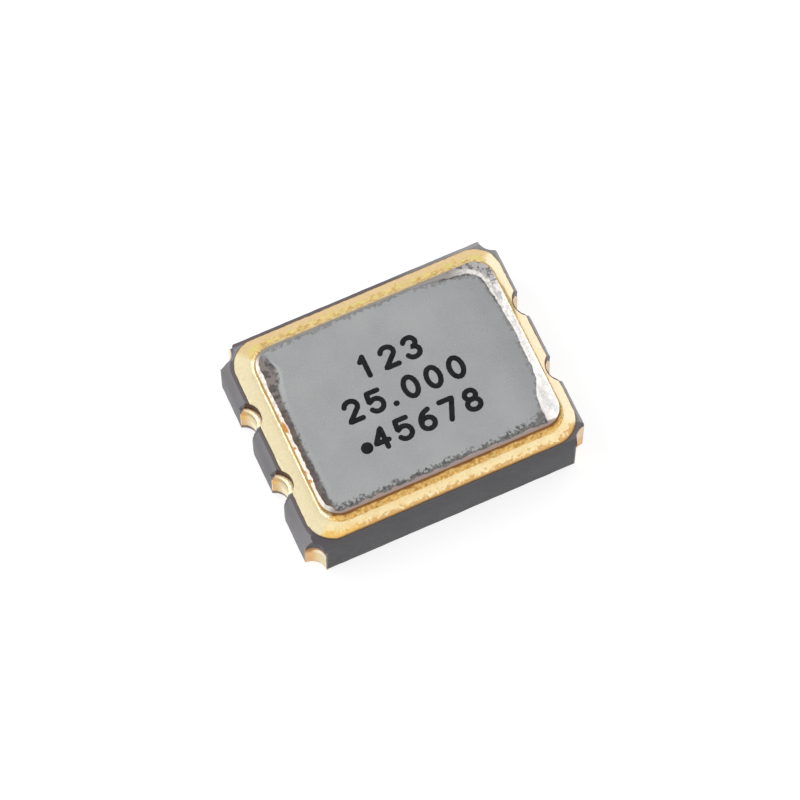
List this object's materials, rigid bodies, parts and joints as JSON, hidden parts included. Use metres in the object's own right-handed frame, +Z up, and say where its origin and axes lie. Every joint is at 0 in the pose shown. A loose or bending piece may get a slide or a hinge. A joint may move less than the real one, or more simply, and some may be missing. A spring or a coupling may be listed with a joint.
{
  "type": "crystal oscillator",
  "caption": "Surface-mount crystal oscillator: dark ceramic package with a gold seal band, welded metal lid, castellated solder terminals, and a quartz blank over a wire-bonded die.",
  "frame": {"origin": "centre of the package outline in the plane of the solder pads", "axes": "+X along the long side, +Z up out of the lid; the marking reads from the -Y side, and terminal 1 is at the -X -Y corner"},
  "size_m": [0.0032, 0.0024, 0.0008],
  "materials": {
    "black_ceramic": "dark co-fired alumina, fine matt grain",
    "gold_plate": "electroplated gold over nickel, satin",
    "gold_plate_inner": "electroplated gold, clean",
    "braze": "rough once-molten braze, orange gold",
    "nickel_lid": "dull nickel plate over iron-nickel-cobalt sheet, bright weld track at the rim",
    "mark_black": "black burnt or printed marking",
    "die_epoxy": "silver-filled die attach",
    "silicon": "polished silicon with fine circuitry",
    "aluminium_contact": "thin sputtered metal",
    "gold_wire": "drawn gold wire",
    "silver_adhesive": "cured silver-filled adhesive",
    "quartz": "lapped and etched quartz",
    "silver_electrode": "vapour-deposited silver"
  },
  "bodies": {
    "root": {"ceramic_base": "black_ceramic", "terminal_1": "gold_plate", "terminal_2": "gold_plate", "terminal_3": "gold_plate", "terminal_4": "gold_plate", "test_contact_1": "gold_plate", "test_contact_2": "gold_plate", "test_contact_3": "gold_plate", "test_contact_4": "gold_plate", "seal_band": "gold_plate", "seal_braze": "braze", "lid": "nickel_lid", "lid_marking": "mark_black", "die_pad": "gold_plate_inner", "die_attach": "die_epoxy", "oscillator_die": "silicon", "die_contacts": "aluminium_contact", "bond_fingers": "gold_plate_inner", "bond_wire_1": "gold_wire", "bond_wire_2": "gold_wire", "bond_wire_3": "gold_wire", "bond_wire_4": "gold_wire", "bond_wire_5": "gold_wire", "bond_wire_6": "gold_wire", "crystal_pad_front": "gold_plate_inner", "crystal_pad_back": "gold_plate_inner", "adhesive_front": "silver_adhesive", "adhesive_back": "silver_adhesive", "crystal_bump": "black_ceramic", "quartz_blank": "quartz", "lower_electrode": "silver_electrode", "upper_electrode": "silver_electrode"}
  },
  "joints": []
}
